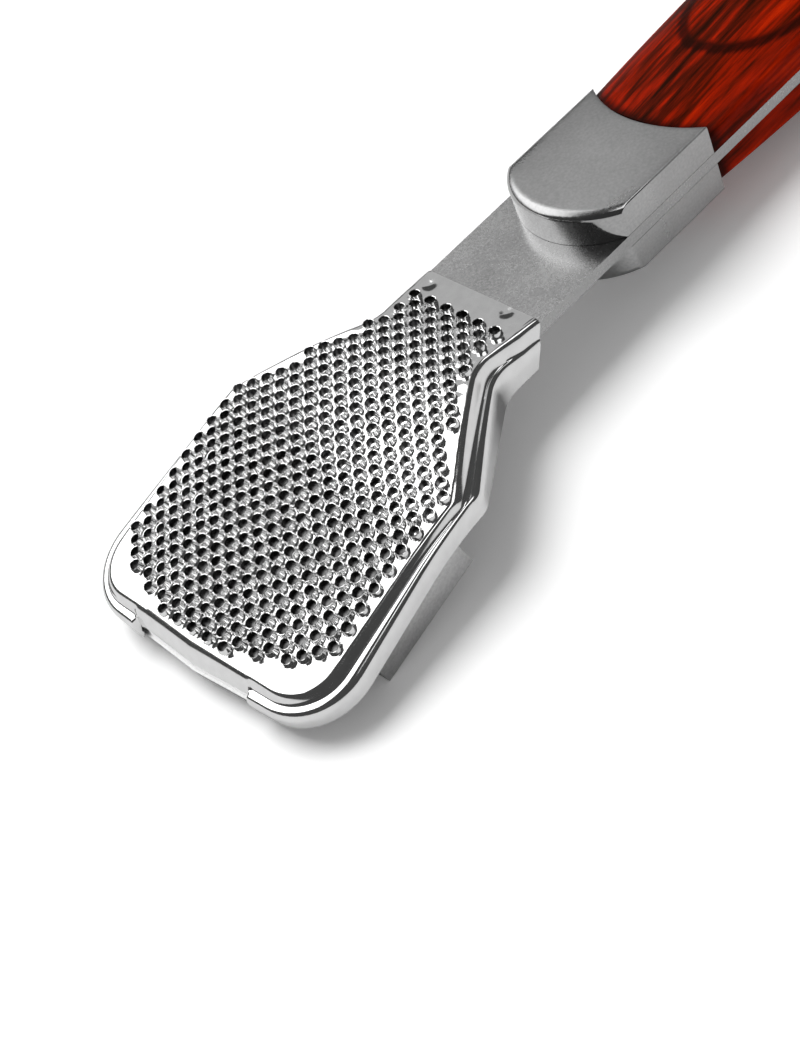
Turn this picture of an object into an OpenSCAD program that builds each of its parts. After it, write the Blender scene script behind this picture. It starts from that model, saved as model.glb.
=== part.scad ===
// Callus shaver: a full tang wooden handle, a bent steel blank and a punched rasp cover.
// Lengths along the tool are counted from the nose of the bolsters, along the bent blank.

/* [Steel blank] */
// Thickness of the one-piece steel blank
blank_t = 1.7; // [1.2:0.1:2.4]
// Width of the neck and of the tang
neck_w = 20; // [17:0.5:22]
// Bare neck between the bolster nose and the rasp cover
neck_l = 11.5; // [8:0.5:18]
// Height by which the blank steps down under the rear edge of the rasp cover
step_h = 4; // [3.6:0.1:4.4]
// Slope of the step
step_slope = 60; // [55:1:65]
// Inner radius of the two folds of the step
step_r = 0.8; // [0.5:0.1:1]
// Angle by which the head drops below the line of the handle
head_drop = 15.75; // [13:0.25:18]
// Radius of the bend across the middle of the head
bend_r = 40; // [36:1:46]
// Distance from the rear edge of the rasp cover to the start of the bend
bend_start = 24.2; // [22:0.2:26]

/* [Head outline] */
// Length of the head from the rear edge of the rasp cover to its front edge
head_l = 58.8; // [56:0.2:62]
// Width of the head at its front corners
head_w = 46.2; // [44:0.2:49]
// Width of the head at its hips, where the flare ends
hip_w = 41; // [39:0.2:43]
// Distance from the rear edge of the rasp cover to the hips
hip_at = 23.6; // [22:0.2:25]
// Distance from the rear edge of the rasp cover to the waist, where the flare starts
waist_at = 8.9; // [8:0.1:10]
// Radius of the front corners of the head
corner_r = 8.5; // [7:0.5:10]

/* [Rasp cover] */
// Thickness of the stamped sheet
sheet_t = 0.5; // [0.3:0.05:0.7]
// Height of the cover over the blank along the middle of its front part
cover_h = 4.25; // [3.8:0.05:4.6]
// Height of the cover over the blank at its crest
crest_h = 5.85; // [5.2:0.05:6.4]
// Distance from the rear edge of the cover to its crest
crest_at = 14; // [12:0.5:16]
// Distance from the rear edge of the cover to the end of its crest
crest_to = 33; // [30:0.5:36]
// Drop of the crowned top from its middle to its sides
crown_drop = 1.45; // [0.8:0.05:1.6]
// Width of the border between the edge of the blank and the toothed top
border_w = 3.1; // [2.6:0.1:3.4]
// Half of the gap that the rolled rim leaves open at the front edge
rim_gap = 11; // [8:0.5:13]
// Depth by which the rim reaches down over the edge of the blank
skirt_h = 0.4; // [0.2:0.1:0.8]

/* [Teeth] */
// Distance between two teeth of one row
tooth_pitch = 2.89; // [2.8:0.01:3.2]
// Distance between two rows
row_pitch = 1.38; // [1.36:0.005:1.6]
// Distance from the rear edge of the cover to the first row
first_row = 4.8; // [4:0.1:6]
// Diameter of a tooth at its foot
tooth_foot_d = 1.8; // [1.4:0.05:1.9]
// Diameter of a tooth at its sharp rim
tooth_rim_d = 1.25; // [0.9:0.05:1.3]
// Height of a tooth
tooth_h = 0.75; // [0.4:0.05:1]

/* [Blade holder] */
// Thickness of the folded sheet of the blade carrier
carrier_t = 0.8; // [0.6:0.1:1]
// Length of the carrier side walls
carrier_l = 17.5; // [16.5:0.5:18.5]
// Width over the carrier side walls
carrier_w = 41; // [40:0.5:42]
// Depth of the carrier under the blank
carrier_h = 5; // [4.4:0.1:5.6]
// Distance from the rear edge of the rasp cover to the carrier
carrier_at = 29.4; // [28.6:0.1:30.4]
// Length of the blade
blade_l = 39; // [37:0.5:39]
// Width of the blade
blade_w = 12.5; // [11:0.5:12.5]
// Thickness of the blade
blade_t = 0.25; // [0.15:0.05:0.4]
// Width of the throat slot in front of the cutting edge
throat_w = 3; // [2.5:0.1:3.2]
// Length of the throat slot
throat_l = 35; // [32:0.5:36]
// Thickness of the clamp plate
clamp_t = 1.2; // [0.8:0.1:1.5]
// Diameter of the clamp studs
stud_d = 3; // [2.5:0.1:3.5]
// Distance between the clamp studs
stud_gap = 22; // [18:1:24]
// Diameter of the knurled nuts
nut_d = 7; // [6:0.5:8]
// Height of the knurled nuts
nut_h = 2.2; // [1.8:0.1:2.6]
// Diameter of the carrier rivets
rivet_d = 2.4; // [2:0.1:3]
// Distance between the carrier rivets of one pair
rivet_gap = 22; // [18:1:24]

/* [Bolsters] */
// Length of the bolsters along their middle
bolster_l = 18.7; // [16:0.1:24]
// Height of a bolster over the tang
bolster_h = 5.1; // [4:0.1:6]
// Radius of the tongue shaped nose
nose_r = 12; // [11:0.5:14]
// Radius of the rounded edge of the nose
nose_edge_r = 1; // [0.5:0.1:1.5]
// Height of the crown on top of a bolster
bolster_crown = 0.6; // [0.3:0.1:1]
// Radius of the hollow rear end, which the wood fills
hollow_r = 16; // [14:0.5:20]
// Diameter of the blind pins
pin_d = 3; // [2:0.1:4]
// Distance between the blind pins
pin_gap = 7; // [5:0.5:8]

/* [Handle] */
// Length of the handle from the bolster nose to the butt
handle_l = 108.5; // [95:0.5:125]
// Height of a wooden scale over the tang at its thickest place
scale_h = 7.6; // [6.8:0.1:8.5]
// Rise of the scale from the bolster to its thickest place
swell = 2.4; // [1.5:0.1:2.8]
// Height of the crown across a scale
scale_crown = 2.8; // [2:0.1:3.6]
// Radius of the corners of the butt
butt_r = 8; // [5:0.5:8.5]
// Diameter of the handle rivets
handle_rivet_d = 4; // [3:0.1:5]
// Diameter of the handle rivet heads
handle_head_d = 6.5; // [5.5:0.1:8]
// Depth of the handle rivet heads in the wood
handle_head_h = 2.6; // [2:0.1:3]
// Distance from the butt to the rear rivet
rear_rivet_at = 18; // [14:0.5:24]
// Distance between the handle rivets
handle_rivet_gap = 34; // [28:1:38]

/* [Hidden] */
$fn = 64;
// Clearance between pieces that are seated on each other
seat = 0.05;
// Start of the side walls of the cover, measured from its rear edge
side_from = 2.9;
// Start of the step of the blank, measured from the rear edge of the cover
step_at = 0.8;
// Radii of the outline of the blank at the waist and at the hips
waist_r = 7;
hip_r = 3;
// Length by which the front edge of the head bows out between its corners
front_bow = 1.3;
// Distance from the edge of the blank to the toothed top at the rear, at the waist and at the hips
rear_border = 0.6;
waist_border = 1.1;
hip_border = 0.35;
front_border = 3.2;
// Lead of the waist and the hips of the toothed top over those of the blank
waist_lead = 1.7;
hip_lead = 3.5;
// Teeth with this many sides, and the wall and floor left round them
tooth_sides = 5;
tooth_sink = 0.3;
tooth_margin = 0.05;
// The teeth end at the front on an arc: its distance from the front edge and its radius
teeth_border = 2.8;
teeth_end = head_l - teeth_border;
teeth_end_r = 27;
// Stations of the cover along its edge and across its top
arc_steps = 3;
top_steps = 4;

deg = 180 / PI;

// Points of the head: a length along the top face of the blank and a height over that face.
// The line of the head starts at the bolster nose too, lower than the neck by the height of the step
bend_from = neck_l + bend_start;
bend_len = bend_r * head_drop / deg;
bend_to = bend_from + bend_len;
bend_low = -step_h - bend_r;
bend_end = [bend_from + bend_r * sin(head_drop), bend_low + bend_r * cos(head_drop)];
function bend_at(s) = min(head_drop, max(0, (s - bend_from) / bend_r * deg));
function bent(s, n) =
    let(
        a = bend_at(s),
        flat_l = s <= bend_from ? s - bend_from : max(0, s - bend_to)
    )
    [bend_from + (bend_r + n) * sin(a) + flat_l * cos(a), bend_low + (bend_r + n) * cos(a) - flat_l * sin(a)];
function on_blank(p, n) = let(q = bent(neck_l + p.x, n)) [q.x, p.y, q.y];

// Outline with round corners: each point is a place and the radius of its corner
function unit(v) = v / norm(v);
function turned(v, a) = [v.x * cos(a) - v.y * sin(a), v.x * sin(a) + v.y * cos(a)];
function corner(a, b, c, r, steps) =
    let(
        u = unit(b - a),
        w = unit(c - b),
        whole = acos(min(1, u * w)),
        side = sign(u.x * w.y - u.y * w.x),
        centre = b + unit(w - u) * r / cos(whole / 2),
        from = b - u * r * tan(whole / 2) - centre
    )
    [for (i = [0:steps]) centre + turned(from, side * whole * i / steps)];
function place(p) = [p.x, p.y];
function corners(path) = [
    for (i = [1:len(path) - 2])
        corner(place(path[i - 1]), place(path[i]), place(path[i + 1]), path[i][2], arc_steps)
];
function along(a, b, parts) = [for (i = [1:parts - 1]) a + (b - a) * i / parts];

// The same path moved outwards
function side_of(a, b) = let(u = unit(b - a)) [-u.y, u.x];
function outward(path, d) = [
    for (i = [0:len(path) - 1])
        let(
            before = side_of(place(path[max(0, i - 1)]), place(path[max(1, i)])),
            after = side_of(place(path[min(i, len(path) - 2)]), place(path[min(i + 1, len(path) - 1)])),
            turn = before.x * after.y - before.y * after.x,
            to = place(path[i]) + (before + after) * d / (1 + before * after)
        )
        i == len(path) - 1 ? [to.x, 0] : [to.x, to.y, path[i][2] - sign(turn) * d]
];

// Right half of the blank edge from the start of the side walls to the front, then of the toothed top
edge_path = [
    [side_from, neck_w / 2, 0],
    [waist_at, neck_w / 2, waist_r],
    [hip_at, hip_w / 2, hip_r],
    [head_l - front_bow, head_w / 2, corner_r],
    [head_l, 0]
];
rim_path = outward(edge_path, sheet_t + seat);
top_path = [
    [0, neck_w / 2 - rear_border],
    [waist_at + waist_lead, neck_w / 2 - waist_border, waist_r - waist_border],
    [hip_at + hip_lead, hip_w / 2 - hip_border, hip_r / 2],
    [head_l - front_border, head_w / 2 - border_w, corner_r - border_w],
    [head_l - front_border, 0]
];
edge_arcs = corners(edge_path);
rim_arcs = corners(rim_path);
top_arcs = corners(top_path);
straight_steps = [1, 4, 5];
function last(v) = v[len(v) - 1];
// The rim ends with a clean cut at both sides of the gap in the front edge
gap_stop = 1 - rim_gap / last(last(rim_arcs)).y;
rim_cut = 0.02;
front_stops = [gap_stop, gap_stop + rim_cut, gap_stop + (1 - gap_stop) * 0.4, 1 - (1 - gap_stop) * 0.25, 1];
function stations(path, arcs) = [
    place(path[0]),
    for (i = [0:2]) each concat(
        along(i == 0 ? place(path[0]) : last(arcs[i - 1]), arcs[i][0], straight_steps[i]),
        arcs[i]
    ),
    for (f = front_stops) last(arcs[2]) + (place(last(path)) - last(arcs[2])) * f
];
edge_line = stations(edge_path, edge_arcs);
rim_line = stations(rim_path, rim_arcs);
top_line = stations(top_path, top_arcs);
n_stations = len(rim_line);
gap_from = n_stations - len(front_stops) + 1;

// Height of the cover over the blank at a place on it: it lies on the neck, rises to its crest
// and falls to the height of the front part
rear_h = step_h + seat + sheet_t;
top_half_w = head_w / 2 - border_w;
function middle_h(u) =
    u < crest_at
        ? rear_h + (crest_h - rear_h) * sin(90 * max(0, u) / crest_at)
        : cover_h + (crest_h - cover_h) * (1 + cos(180 * min(1, (u - crest_at) / (crest_to - crest_at)))) / 2;
function top_h(u, y) = middle_h(u) - crown_drop * pow(y / top_half_w, 2) * min(1, max(0, u / waist_at));

// Sections of the border from the rim to the top: a share of its width, a share of its height and
// the slope of the outer skin. The wall is plain at the rear, then a crease parts it from the rim,
// and in the gap of the rim a lip slopes down to the front edge
plain_wall = [
    [0, 0.1, 0], [0, 0.3, 0], [0, 0.5, 0], [0, 0.7, 0], [0, 0.92, 15], [0.25, 0.98, 60], [1, 1, 80]
];
rim_wall = [
    [0, 0, 0], [0, 0.24, 0], [0.12, 0.48, 25], [0.32, 0.6, 80], [0.5, 0.58, 60], [0.78, 0.88, 30], [1, 1, 70]
];
lip_wall = [
    [0, 0, 0], [0.03, 0.2, 10], [0.08, 0.42, 30], [0.16, 0.62, 45], [0.3, 0.78, 60], [0.62, 0.93, 80], [1, 1, 85]
];
plain_to = 1;
// The lip rests on the blank, this far inside its front edge
lip_lap = 0.3;
lip_in = sheet_t + seat + lip_lap;
function border(k, h, w, inside) =
    let(
        rim = k < gap_from,
        wall = k <= plain_to ? plain_wall : rim ? rim_wall : lip_wall,
        from = k <= gap_from ? 0 : lip_in / w,
        drop = inside ? sheet_t : 0
    )
    [
        for (j = [0:len(wall) - 1])
            let(b = wall[j])
            [
                from + (1 - from) * b[0] + drop * cos(b[2]) / w,
                j == 0 ? (rim ? -skirt_h : seat) : b[1] * h - drop * sin(b[2])
            ]
    ];
// The rear end of the side walls slants down to the blank
function rear_at(n) = side_from * (1 - max(0, min(1, (n + skirt_h) / (step_h + skirt_h))));

// The cover is a grid: station by station along the edge, and from the left rim to the right rim
function skin_row(k, inside) =
    let(
        e = rim_line[k],
        t = top_line[k],
        h = top_h(t.x, t.y),
        walls = border(k, h, k == 0 ? e.y - t.y : norm(t - e), inside),
        right = [
            for (b = walls)
                let(p = e + (t - e) * b[0])
                on_blank([k == 0 ? rear_at(b[1]) : p.x, p.y], b[1])
        ],
        drop = inside ? sheet_t : 0,
        middle = [
            for (i = [1:top_steps - 1])
                let(y = t.y * (2 * i / top_steps - 1))
                on_blank([t.x, y], top_h(t.x, y) - drop)
        ],
        left = [for (p = right) [p.x, -p.y, p.z]]
    )
    concat(left, middle, [for (i = [1:len(right)]) right[len(right) - i]]);
border_n = len(rim_wall);
row_n = 2 * border_n + top_steps - 1;
function at(k, j, inside) =
    let(jj = k < n_stations - 1 ? j : min(j, row_n - 1 - j, border_n - 1))
    (inside ? n_stations * row_n : 0) + k * row_n + jj;
function tri(a, b, c) = a == b || b == c || a == c ? [] : [[a, b, c]];
function quad(a, b, c, d) = concat(tri(a, b, c), tri(a, c, d));
module cover_sheet() {
    points = [
        for (inside = [false, true])
            for (k = [0:n_stations - 1])
                each skin_row(k, inside)
    ];
    faces = [
        for (k = [0:n_stations - 2])
            for (j = [0:row_n - 2])
                each concat(
                    quad(at(k, j, false), at(k, j + 1, false), at(k + 1, j + 1, false), at(k + 1, j, false)),
                    quad(at(k, j, true), at(k + 1, j, true), at(k + 1, j + 1, true), at(k, j + 1, true))
                ),
        for (j = [0:row_n - 2])
            each quad(at(0, j, false), at(0, j, true), at(0, j + 1, true), at(0, j + 1, false)),
        for (k = [0:n_stations - 2])
            for (j = [0, row_n - 1])
                each j == 0
                    ? quad(at(k, 0, false), at(k + 1, 0, false), at(k + 1, 0, true), at(k, 0, true))
                    : quad(at(k, j, false), at(k, j, true), at(k + 1, j, true), at(k + 1, j, false))
    ];
    polyhedron(points, faces, convexity = 6);
}

// Teeth: rows across the head, every second row shifted by half a pitch
edge_w = [for (p = top_line) [p.x, p.y]];
function top_w(u) = lookup(u, edge_w);
tooth_room = tooth_foot_d / 2 + tooth_margin;
function fits(u, y) = abs(y) < top_w(u) - tooth_room && u < teeth_end - y * y / teeth_end_r / 2;
// Rows keep their distance on the formed sheet, which is longer than the blank along the bend
function stretch(u) = abs(neck_l + u - (bend_from + bend_to) / 2) < bend_len / 2 ? 1 + middle_h(u) / bend_r : 1;
rows = [for (u = first_row; u < teeth_end; u = u + row_pitch / stretch(u)) u];
tooth_places = [
    for (i = [0:len(rows) - 1])
        let(
            u = rows[i],
            shift = i % 2 == 0 ? 0.5 : 0,
            most = ceil(top_w(u) / tooth_pitch)
        )
        for (j = [-most:most])
            let(y = (j + shift) * tooth_pitch)
            if (fits(u, y)) [u, y]
];
// Slopes of the cover top at a place, along and across the head
slope_step = 0.5;
function slope_u(u, y) = atan((top_h(u + slope_step, y) - top_h(u - slope_step, y)) / slope_step / 2);
function slope_y(u, y) = atan((top_h(u, y + slope_step) - top_h(u, y - slope_step)) / slope_step / 2);

// Rest on a table: the tool stands on the front edge of the carrier and the belly of the lower scale
scale_l = handle_l - bolster_l;
swell_r = (scale_l * scale_l / 4 + swell * swell) / swell / 2;
belly_at = -(handle_l + bolster_l) / 2;
carrier_from = neck_l + carrier_at;
carrier_to = carrier_from + carrier_l;
front_foot = bent(carrier_to, -blank_t - carrier_h);
belly = [belly_at, swell_r - scale_h - blank_t];
to_foot = front_foot - belly;
rest_tilt = 90 + atan2(to_foot.y, to_foot.x) - acos(swell_r / norm(to_foot));
rest_h = front_foot.x * sin(rest_tilt) - front_foot.y * cos(rest_tilt);
head_tip = bent(neck_l + head_l, 0);
mid_x = ((head_tip.x - handle_l) * cos(rest_tilt) + head_tip.y * sin(rest_tilt)) / 2;
module at_rest() {
    translate([-mid_x, 0, rest_h])
        rotate([0, rest_tilt, 0])
            children();
}
// Local frame on the blank: its origin is at the given length, on the top face
module on_blank_at(s) {
    p = bent(s, 0);
    translate([p.x, 0, p.y])
        rotate([0, bend_at(s), 0])
            children();
}
// Frame of the flat part of the head: lengths are still counted from the bolster nose
module on_head() {
    translate([bend_end.x, 0, bend_end.y])
        rotate([0, head_drop, 0])
            translate([-bend_to, 0, 0])
                children();
}
// The same piece on the lower face of the tang
module below_tang() {
    translate([0, 0, -blank_t])
        mirror([0, 0, 1])
            children();
}
module slab(x0, x1, y0, y1, z0, z1) {
    translate([x0, y0, z0])
        cube([x1 - x0, y1 - y0, z1 - z0]);
}
module rod(d, z0, z1) {
    translate([0, 0, z0])
        cylinder(d = d, h = z1 - z0);
}
module pair(gap) {
    for (side = [-1, 1])
        translate([0, side * gap / 2, 0])
            children();
}

// Side view of a sheet that follows the head, between two lengths and two heights over its top face:
// the bend reaches this angle into the flat parts
bend_lap = 0.05;
module bent_section(s0, s1, n0, n1) {
    a0 = bend_at(s0) - bend_lap;
    a1 = bend_at(s1) + bend_lap;
    far = 2 * bend_r;
    if (s0 < bend_from)
        translate([s0, n0 - step_h])
            square([min(s1, bend_from) - s0, n1 - n0]);
    if (s0 < bend_to && s1 > bend_from)
        translate([bend_from, bend_low])
            intersection() {
                difference() {
                    circle(r = bend_r + n1);
                    circle(r = bend_r + n0);
                }
                polygon([[0, 0], far * [sin(a0), cos(a0)], far * [sin(a1), cos(a1)]]);
            }
    if (s1 > bend_to)
        translate(bend_end)
            rotate(-head_drop)
                translate([max(0, s0 - bend_to), n0])
                    square([s1 - max(s0, bend_to), n1 - n0]);
}
module bent_strip(s0, s1, n0, n1, w) {
    translate([0, w / 2, 0])
        rotate([90, 0, 0])
            linear_extrude(w)
                bent_section(s0, s1, n0, n1);
}

/* Blank */
// Step: two folds with a slope between them, each fold a ring sector
fold_sum = 2 * step_r + blank_t;
slope_l = (step_h - fold_sum * (1 - cos(step_slope))) / sin(step_slope);
step_from = neck_l + step_at;
step_to = step_from + fold_sum * sin(step_slope) + slope_l * cos(step_slope);
step_lap = 0.01;
module fold(from, to) {
    far = 4 * fold_sum;
    intersection() {
        difference() {
            circle(r = step_r + blank_t);
            circle(r = step_r);
        }
        polygon([[0, 0], far * [sin(from), cos(from)], far * [sin(to), cos(to)]]);
    }
}
module step_section() {
    translate([step_from, -blank_t - step_r]) {
        fold(-bend_lap, step_slope + bend_lap);
        rotate(-step_slope)
            translate([-step_lap, step_r])
                square([slope_l + 2 * step_lap, blank_t]);
    }
    translate([step_to, step_r - step_h])
        fold(180 - bend_lap, 180 + step_slope + bend_lap);
}
module blank_section() {
    translate([-2 * handle_l, -blank_t])
        square([2 * handle_l + step_from, blank_t]);
    step_section();
    bent_section(step_to, neck_l + 2 * head_l, -blank_t, 0);
}
function both_sides(right) =
    concat(right, [for (i = [2:len(right)]) let(p = right[len(right) - i]) [p.x, -p.y]]);
// Prism of the outline over the handle and the bend, where the plan is foreshortened, and over the head
prism_lap = 0.5;
module bend_prism() {
    to = bend_end.x + prism_lap;
    translate([0, 0, -2 * bend_r])
        linear_extrude(3 * bend_r)
            intersection() {
                union() {
                    handle_plan(neck_l + side_from);
                    polygon(both_sides([for (p = edge_line) [bent(neck_l + p.x, 0).x, p.y]]));
                }
                translate([-handle_l, -head_w])
                    square([handle_l + to, 2 * head_w]);
            }
}
module head_prism() {
    on_head()
        linear_extrude(2 * bend_r, center = true)
            intersection() {
                polygon(both_sides([for (p = edge_line) [neck_l + p.x, p.y]]));
                translate([bend_to - prism_lap, -head_w])
                    square([2 * head_l, 2 * head_w]);
            }
}
// Plan of the handle, from a given length back to the round butt
module handle_plan(from) {
    w = neck_w / 2;
    translate([-handle_l + butt_r, -w])
        square([handle_l - butt_r + from, neck_w]);
    translate([-handle_l, -w + butt_r])
        square([butt_r, neck_w - 2 * butt_r]);
    for (side = [-1, 1])
        translate([-handle_l + butt_r, side * (w - butt_r)])
            circle(r = butt_r);
}
window_border = 1.5;
window_w = carrier_w - 7;
window_r = 2;
module round_plan(x0, x1, w, r) {
    translate([x0 + r, -w / 2])
        square([x1 - x0 - 2 * r, w]);
    translate([x0, -w / 2 + r])
        square([x1 - x0, w - 2 * r]);
    for (x = [x0 + r, x1 - r])
        for (side = [-1, 1])
            translate([x, side * (w / 2 - r)])
                circle(r = r);
}
flange_l = 5.4;
rivet_edge = 2.1;
module at_carrier_rivets() {
    for (s = [carrier_from - flange_l + rivet_edge, carrier_to + flange_l - rivet_edge])
        on_blank_at(s)
            pair(rivet_gap)
                children();
}
pins_at = -bolster_l / 2;
module at_pins() {
    for (x = [pins_at - pin_gap / 2, pins_at + pin_gap / 2])
        translate([x, 0, 0])
            children();
}
function handle_rivet_x(i) = -handle_l + rear_rivet_at + i * handle_rivet_gap;
module at_handle_rivet(i) {
    translate([handle_rivet_x(i), 0, 0])
        children();
}
module tang_plate() {
    deep = blank_t + 1;
    color("lightslategray")
        difference() {
            intersection() {
                translate([0, head_w, 0])
                    rotate([90, 0, 0])
                        linear_extrude(2 * head_w)
                            blank_section();
                union() {
                    bend_prism();
                    head_prism();
                }
            }
            on_head()
                translate([0, 0, -deep])
                    linear_extrude(2 * deep)
                        round_plan(
                            carrier_from + window_border,
                            carrier_to - window_border,
                            window_w,
                            window_r
                        );
            at_carrier_rivets() rod(rivet_d + 2 * seat, -deep, deep);
            at_pins() rod(pin_d + 2 * seat, -deep, deep);
            for (i = [0, 1]) at_handle_rivet(i) rod(handle_rivet_d + 2 * seat, -deep, deep);
        }
}

/* Cover */
module tooth() {
    rim_r = tooth_rim_d / 2;
    difference() {
        hull()
            translate([0, 0, -tooth_sink])
                cylinder(d1 = tooth_foot_d, d2 = tooth_rim_d, h = tooth_h + tooth_sink, $fn = tooth_sides);
        translate([0, 0, tooth_h - rim_r])
            cylinder(r1 = 0, r2 = 2 * rim_r, h = 2 * rim_r, $fn = tooth_sides);
    }
}
module rasp_shell() {
    color("silver") {
        cover_sheet();
        for (p = tooth_places)
            translate(on_blank(p, top_h(p.x, p.y)))
                rotate([0, bend_at(neck_l + p.x) - slope_u(p.x, p.y), 0])
                    rotate([slope_y(p.x, p.y), 0, 0])
                        tooth();
    }
}

/* Bolsters */
bolster_crown_r = (neck_w * neck_w / 4 + bolster_crown * bolster_crown) / bolster_crown / 2;
pin_depth = 3;
// Round nose: its edge starts to turn a little above the crown, which trims it
nose_rise = 0.15;
module nose() {
    h = bolster_h + nose_rise - seat;
    e = nose_edge_r;
    translate([-nose_r, 0, seat])
        rotate_extrude() {
            square([nose_r, h - e]);
            square([nose_r - e, h]);
            translate([nose_r - e, h - e])
                circle(r = e);
        }
}
// Bar along the handle with straight sides and a crowned top
module crowned_bar(x0, x1) {
    translate([x0, 0, 0])
        rotate([90, 0, 90])
            linear_extrude(x1 - x0)
                intersection() {
                    translate([-neck_w / 2, seat])
                        square([neck_w, bolster_h]);
                    translate([0, bolster_h - bolster_crown_r])
                        circle(r = bolster_crown_r, $fn = 360);
                }
}
module bolster() {
    back = bolster_l + hollow_r - sqrt(hollow_r * hollow_r - neck_w * neck_w / 4) + 1;
    difference() {
        union() {
            intersection() {
                nose();
                crowned_bar(-1.5 * nose_r, 1);
            }
            crowned_bar(-back, -nose_r);
        }
        translate([-bolster_l - hollow_r, 0, -1])
            cylinder(r = hollow_r, h = bolster_h + 2);
        at_pins() rod(pin_d + 2 * seat, -1, pin_depth + seat);
    }
}
module upper_bolster() {
    color("gray") bolster();
}
module lower_bolster() {
    color("gray") below_tang() bolster();
}
module bolster_pins() {
    color("darkgray") at_pins() rod(pin_d, -blank_t - pin_depth, pin_depth);
}

/* Wooden scales */
scale_r = (neck_w * neck_w / 4 + scale_crown * scale_crown) / scale_crown / 2;
swell_turn = 1.2 * handle_l / swell_r * deg;
// Body crowned along and across, which trims the scales and the heads of their rivets
module crowned(h) {
    translate([belly_at, 0, h - swell_r])
        rotate([90, 0, 0])
            rotate([0, 0, 90 - swell_turn / 2])
                rotate_extrude(angle = swell_turn, $fn = 720)
                    translate([swell_r - scale_r, 0])
                        circle(r = scale_r, $fn = 96);
}
function scale_top(x) = scale_h - swell_r + sqrt(swell_r * swell_r - pow(x - belly_at, 2));
function head_floor(i) = scale_top(handle_rivet_x(i)) - handle_head_h;
module scale_blank() {
    translate([0, 0, seat])
        linear_extrude(scale_h)
            intersection() {
                union() {
                    handle_plan(-bolster_l - hollow_r);
                    translate([-bolster_l - hollow_r, 0])
                        circle(r = hollow_r - seat);
                }
                translate([-handle_l, -neck_w / 2])
                    square([handle_l, neck_w]);
            }
}
module wooden_scale() {
    difference() {
        intersection() {
            scale_blank();
            crowned(scale_h);
        }
        for (i = [0, 1])
            at_handle_rivet(i) {
                rod(handle_rivet_d + 2 * seat, -1, scale_h);
                rod(handle_head_d + 2 * seat, head_floor(i), scale_h + 1);
            }
    }
}
module upper_scale() {
    color("firebrick") wooden_scale();
}
module lower_scale() {
    color("firebrick") below_tang() wooden_scale();
}
post_wall = 0.9;
post_d = handle_rivet_d - 2 * post_wall;
module rivet_head(i) {
    intersection() {
        at_handle_rivet(i) rod(handle_head_d, head_floor(i) + seat, scale_h + 1);
        crowned(scale_h);
    }
}
module rivet_caps() {
    color("goldenrod")
        for (i = [0, 1]) {
            difference() {
                union() {
                    rivet_head(i);
                    at_handle_rivet(i)
                        rod(handle_rivet_d, -blank_t - head_floor(i), head_floor(i) + 2 * seat);
                }
                at_handle_rivet(i) rod(post_d + 2 * seat, -scale_h - blank_t, head_floor(i));
            }
        }
}
module rivet_posts() {
    color("goldenrod")
        for (i = [0, 1]) {
            below_tang() rivet_head(i);
            at_handle_rivet(i)
                rod(post_d, -blank_t - head_floor(i) - 2 * seat, head_floor(i) - seat);
        }
}

/* Blade holder */
web_low = -blank_t - carrier_h;
web_top = web_low + carrier_t;
tongue_w = 32;
blade_gap = 0.2;
blade_front = carrier_to - carrier_t - blade_gap;
blade_back = blade_front - blade_w;
clamp_l = 33;
clamp_w = 8;
clamp_mid = (blade_front + blade_back) / 2;
blade_low = web_top + seat;
clamp_low = blade_low + blade_t + seat;
nut_low = clamp_low + clamp_t + seat;
stud_top = nut_low + nut_h + 0.5;
module at_studs() {
    translate([clamp_mid, 0, 0])
        pair(stud_gap)
            children();
}
flange_top = -blank_t - seat;
// The rear flange follows the bend, so it lies under the line of the flat part: the rear wall ends
// inside it
wall_lap = 0.2;
rear_dip = pow(max(0, bend_to - carrier_from), 2) / bend_r / 2 + wall_lap;
module blade_carrier() {
    w = carrier_w / 2;
    color("dimgray")
        difference() {
            union() {
                bent_strip(
                    carrier_from - flange_l, carrier_from + carrier_t,
                    flange_top - carrier_t, flange_top, tongue_w
                );
                bent_strip(
                    carrier_to - carrier_t, carrier_to + flange_l,
                    flange_top - carrier_t, flange_top, tongue_w
                );
                on_head() {
                    slab(carrier_from, carrier_to, -w, w, web_low, web_top);
                    slab(carrier_to - carrier_t, carrier_to, -tongue_w / 2, tongue_w / 2, web_low, flange_top);
                    slab(
                        carrier_from, carrier_from + carrier_t,
                        -tongue_w / 2, tongue_w / 2, web_low, flange_top - rear_dip
                    );
                    for (y = [-w, w - carrier_t])
                        slab(carrier_from, carrier_to, y, y + carrier_t, web_low, flange_top);
                }
            }
            on_head() {
                slab(
                    blade_back - throat_w / 2, blade_back + throat_w / 2,
                    -throat_l / 2, throat_l / 2, web_low - 1, web_top + 1
                );
                at_studs() rod(stud_d + 2 * seat, web_low - 1, web_top + 1);
            }
            at_carrier_rivets() rod(rivet_d + 2 * seat, -blank_t - carrier_h, 0);
            for (side = [-1, 1])
                translate([0, side * carrier_w / 2, 0])
                    bent_strip(carrier_from - carrier_t, bend_to + 1, flange_top, 0, 4 * carrier_t);
        }
}
module carrier_rivets() {
    head_low = -blank_t - carrier_t - 3 * seat;
    head_h = 0.9;
    head_d = 1.7 * rivet_d;
    color("darkgray")
        at_carrier_rivets() {
            rod(rivet_d, head_low - head_h / 2, seat + head_h / 2);
            rod(head_d, seat, head_h);
            rod(head_d, head_low - head_h, head_low);
        }
}
bevel_w = 1.2;
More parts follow.
